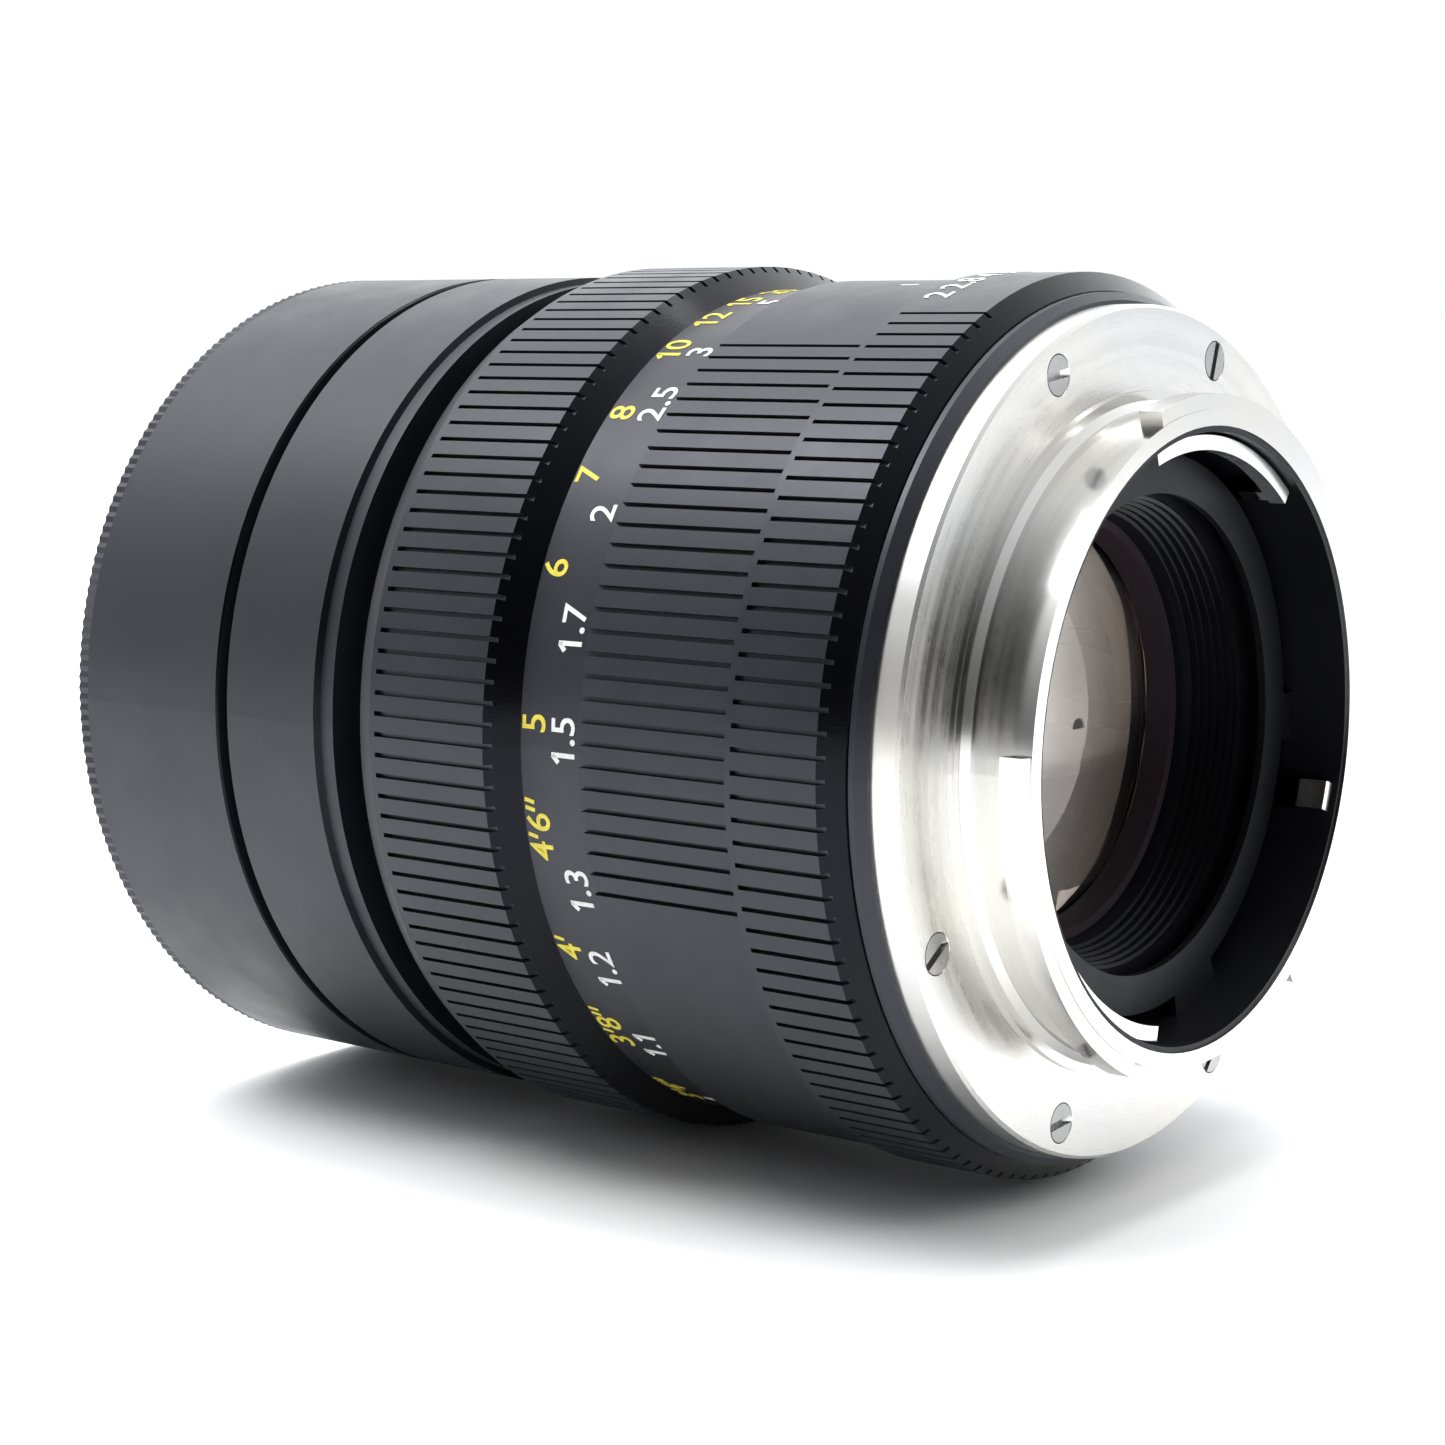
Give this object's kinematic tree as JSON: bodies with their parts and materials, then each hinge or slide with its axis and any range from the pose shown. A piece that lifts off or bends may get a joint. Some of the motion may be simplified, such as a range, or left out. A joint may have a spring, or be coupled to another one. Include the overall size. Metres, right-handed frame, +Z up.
{
  "type": "prime camera lens",
  "caption": "Manual-focus prime lens for a reflex camera, with a ribbed focus ring, aperture ring, sliding hood and breech bayonet mount.",
  "frame": {"origin": "on the optical axis at the seat, the rear face of the mount flange", "axes": "-Y is the way the lens looks and +Y points out of the bayonet; +Z is up as the lens lies on its side, rolled so that its index line stands 20.5 degrees from +Z towards -X"},
  "size_m": [0.0702, 0.0858, 0.0702],
  "materials": {
    "black_anodised": "satin black anodised",
    "satin_chrome": "satin chrome plate",
    "polished_steel": "bright steel",
    "blade_steel": "blued matt steel leaf",
    "brass": "greased machined brass",
    "coated_glass": "polished and coated",
    "felt": "black felt",
    "red_enamel": "gloss bead"
  },
  "bodies": {
    "root": {"fixed_barrel": "black_anodised", "depth_ring": "black_anodised", "rear_cover": "black_anodised", "bayonet_mount": "satin_chrome", "mount_screws": "satin_chrome", "bayonet_liner": "black_anodised", "rear_baffle": "black_anodised", "click_ball": "polished_steel", "click_spring": "polished_steel", "guide_key": "brass", "index_bead": "red_enamel", "lever_spring": "polished_steel"},
    "focus": {"focus_ring": "black_anodised", "focus_helicoid": "brass", "helicoid_retainer": "brass", "focus_grub_screws": "polished_steel"},
    "optics": {"inner_barrel": "black_anodised", "front_barrel": "black_anodised", "hood_felt": "felt", "filter_ring": "black_anodised", "name_ring": "black_anodised", "front_cell": "black_anodised", "front_retainer": "black_anodised", "lens_1": "coated_glass", "element_spacer": "black_anodised", "lens_2": "coated_glass", "lens_3": "coated_glass", "iris_base_plate": "black_anodised", "rear_cell": "black_anodised", "lens_4": "coated_glass", "lens_5": "coated_glass", "rear_retainer": "black_anodised"},
    "hood": {"lens_hood": "black_anodised", "hood_rim": "black_anodised"},
    "aperture": {"aperture_ring": "black_anodised", "coupling_screw": "polished_steel", "cam_carrier": "polished_steel", "upper_cam": "polished_steel", "lower_cam": "polished_steel"},
    "iris_ring": {"iris_drive_ring": "black_anodised"},
    "lever": {"stop_down_lever": "polished_steel"},
    "blade_1": {"iris_blade_1": "blade_steel"},
    "blade_2": {"iris_blade_2": "blade_steel"},
    "blade_3": {"iris_blade_3": "blade_steel"},
    "blade_4": {"iris_blade_4": "blade_steel"},
    "blade_5": {"iris_blade_5": "blade_steel"},
    "blade_6": {"iris_blade_6": "blade_steel"},
    "blade_7": {"iris_blade_7": "blade_steel"},
    "blade_8": {"iris_blade_8": "blade_steel"}
  },
  "joints": [
    {"name": "focus_turn", "type": "hinge", "parent": "root", "child": "focus", "pos_m": [0, -0.04, 0], "axis": [0, -1, 0], "range_deg": [0, 270]},
    {"name": "focus_slide", "type": "slide", "parent": "root", "child": "optics", "axis": [0, -1, 0], "range_m": [0, 0.016]},
    {"name": "hood_slide", "type": "slide", "parent": "optics", "child": "hood", "axis": [0, -1, 0], "range_m": [0, 0.0118]},
    {"name": "aperture_turn", "type": "hinge", "parent": "root", "child": "aperture", "pos_m": [0, -0.008, 0], "axis": [0, -1, 0], "range_deg": [0, 39]},
    {"name": "iris_turn", "type": "hinge", "parent": "optics", "child": "iris_ring", "pos_m": [0, -0.017, 0], "axis": [0, -1, 0], "range_deg": [0, 39]},
    {"name": "lever_turn", "type": "hinge", "parent": "root", "child": "lever", "pos_m": [0, -0.0047, 0], "axis": [0, -1, 0], "range_deg": [0, 25], "stiffness_Nm_per_rad": 0.02, "springref_deg": -20.05},
    {"name": "blade_1_turn", "type": "hinge", "parent": "optics", "child": "blade_1", "pos_m": [-0.00826, -0.0189, 0.0221], "axis": [0, -1, 0], "range_deg": [0, 31]},
    {"name": "blade_2_turn", "type": "hinge", "parent": "optics", "child": "blade_2", "pos_m": [0.00979, -0.01875, 0.02148], "axis": [0, -1, 0], "range_deg": [0, 31]},
    {"name": "blade_3_turn", "type": "hinge", "parent": "optics", "child": "blade_3", "pos_m": [0.0221, -0.0186, 0.00826], "axis": [0, -1, 0], "range_deg": [0, 31]},
    {"name": "blade_4_turn", "type": "hinge", "parent": "optics", "child": "blade_4", "pos_m": [0.02148, -0.01845, -0.00979], "axis": [0, -1, 0], "range_deg": [0, 31]},
    {"name": "blade_5_turn", "type": "hinge", "parent": "optics", "child": "blade_5", "pos_m": [0.00826, -0.0183, -0.0221], "axis": [0, -1, 0], "range_deg": [0, 31]},
    {"name": "blade_6_turn", "type": "hinge", "parent": "optics", "child": "blade_6", "pos_m": [-0.00979, -0.01815, -0.02148], "axis": [0, -1, 0], "range_deg": [0, 31]},
    {"name": "blade_7_turn", "type": "hinge", "parent": "optics", "child": "blade_7", "pos_m": [-0.0221, -0.018, -0.00826], "axis": [0, -1, 0], "range_deg": [0, 31]},
    {"name": "blade_8_turn", "type": "hinge", "parent": "optics", "child": "blade_8", "pos_m": [-0.02148, -0.01785, 0.00979], "axis": [0, -1, 0], "range_deg": [0, 31]}
  ],
  "couplings": [
    {"joint": "focus_slide", "follows": "focus_turn", "m_per_rad": 0.0033953},
    {"joint": "iris_turn", "follows": "aperture_turn", "ratio": 1},
    {"joint": "blade_1_turn", "follows": "aperture_turn", "ratio": 0.79487},
    {"joint": "blade_2_turn", "follows": "aperture_turn", "ratio": 0.79487},
    {"joint": "blade_3_turn", "follows": "aperture_turn", "ratio": 0.79487},
    {"joint": "blade_4_turn", "follows": "aperture_turn", "ratio": 0.79487},
    {"joint": "blade_5_turn", "follows": "aperture_turn", "ratio": 0.79487},
    {"joint": "blade_6_turn", "follows": "aperture_turn", "ratio": 0.79487},
    {"joint": "blade_7_turn", "follows": "aperture_turn", "ratio": 0.79487},
    {"joint": "blade_8_turn", "follows": "aperture_turn", "ratio": 0.79487}
  ]
}
